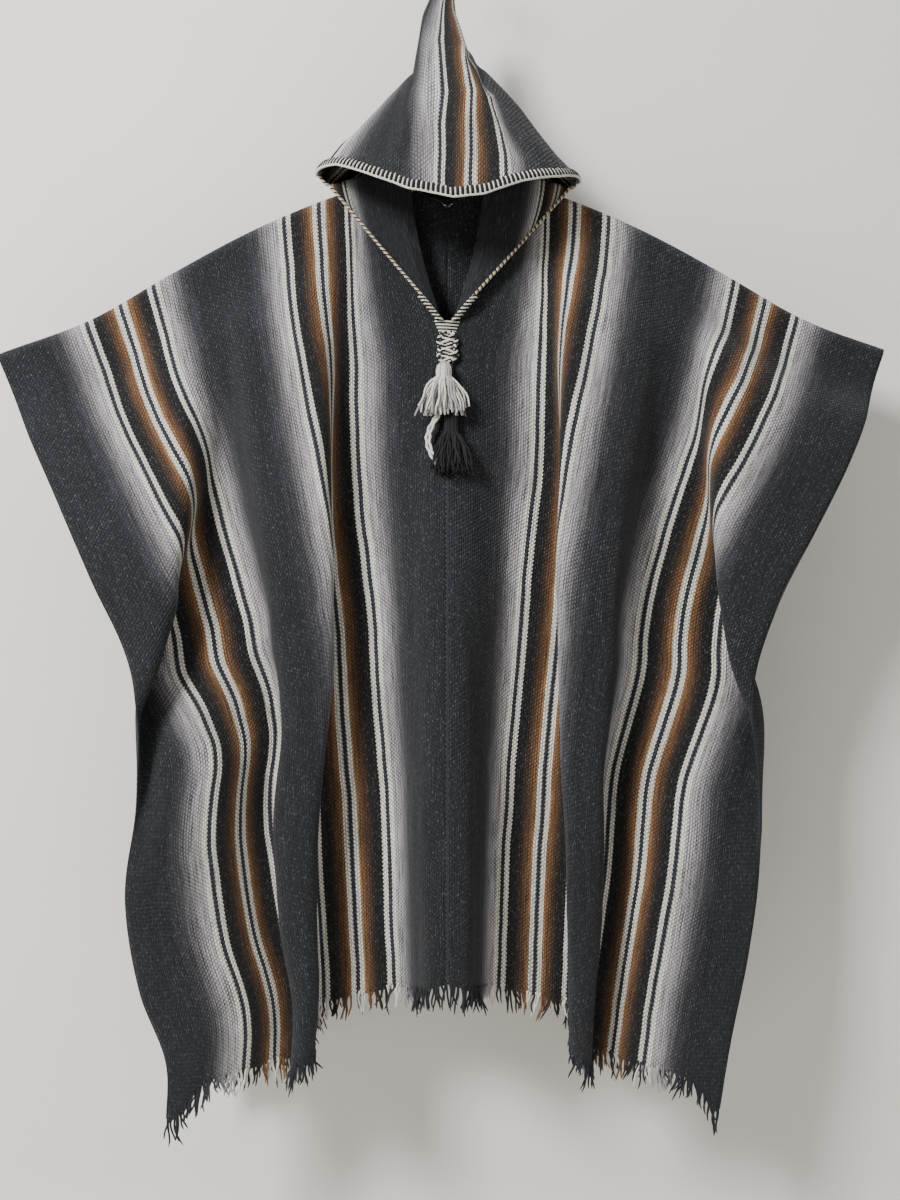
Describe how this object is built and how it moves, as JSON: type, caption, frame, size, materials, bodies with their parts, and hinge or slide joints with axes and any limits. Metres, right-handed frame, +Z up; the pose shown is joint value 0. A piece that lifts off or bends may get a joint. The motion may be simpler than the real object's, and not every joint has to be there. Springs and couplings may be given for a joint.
{
  "type": "hooded poncho on a clothes hanger",
  "caption": "Striped woven poncho with a pointed hood, tasselled neck slit and fringed hems, hanging open from a wooden hanger by its hook",
  "frame": {"origin": "the inside top of the hanger's hook, where it rests on a rail or peg", "axes": "+X to the viewer's right, +Y back towards the wall, +Z up; the front of the poncho faces -Y"},
  "size_m": [1.0448, 0.1865, 1.4013],
  "materials": {
    "panel_left": "coarse striped wool",
    "panel_right": "coarse striped wool",
    "hood": "coarse striped wool",
    "neck_join": "plaited yarn",
    "tassel_light": "loose yarn",
    "tassel_black": "loose yarn",
    "fringe_front_left": "loose yarn",
    "fringe_front_right": "loose yarn",
    "fringe_back_left": "loose yarn",
    "fringe_back_right": "loose yarn",
    "hanger_arms": "satin varnish",
    "hanger_hook": "polished"
  },
  "bodies": {
    "root": {"panel_left": "panel_left", "panel_right": "panel_right", "hood": "hood", "neck_join": "neck_join", "tassel_light": "tassel_light", "tassel_black": "tassel_black", "fringe_front_left": "fringe_front_left", "fringe_front_right": "fringe_front_right", "fringe_back_left": "fringe_back_left", "fringe_back_right": "fringe_back_right", "hanger_arms": "hanger_arms", "hanger_hook": "hanger_hook"}
  },
  "joints": []
}
